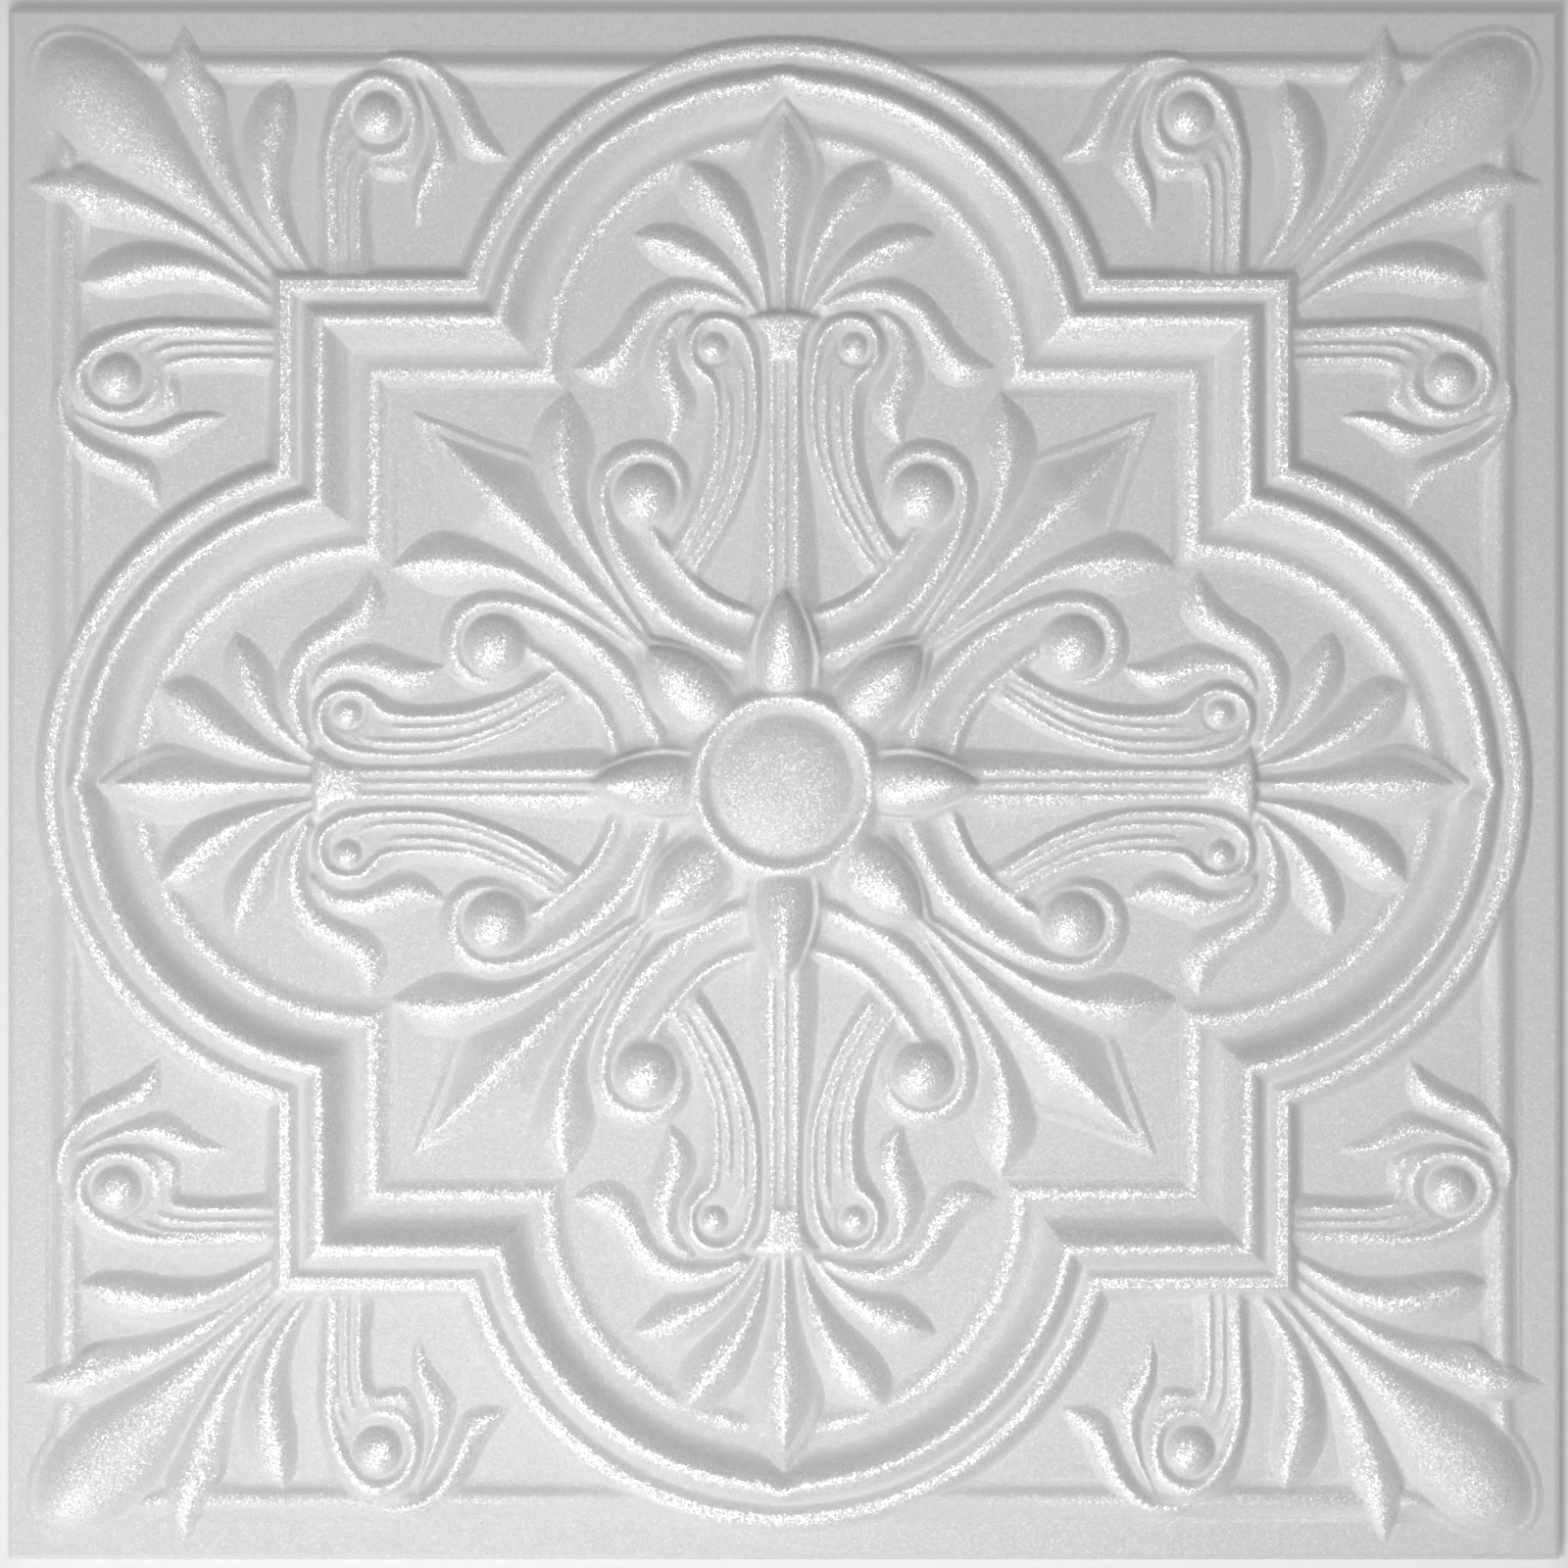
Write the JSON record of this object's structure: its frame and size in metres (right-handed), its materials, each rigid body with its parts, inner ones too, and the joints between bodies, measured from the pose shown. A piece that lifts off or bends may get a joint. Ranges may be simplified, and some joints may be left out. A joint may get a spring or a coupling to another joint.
{
  "type": "ceiling tile",
  "caption": "Square polystyrene ceiling tile with a pressed quatrefoil, scroll and leaf relief around a centre rosette, and a flat back to glue to the ceiling.",
  "frame": {"origin": "middle of the flat back face", "axes": "+Z out of the patterned face; +X and +Y along the square's edges"},
  "size_m": [0.5, 0.5, 0.0142],
  "materials": {
    "pressed_foam": "pearl white polystyrene foam with a fine grain and a soft sheen"
  },
  "bodies": {
    "root": {"ceiling_tile": "pressed_foam"}
  },
  "joints": []
}
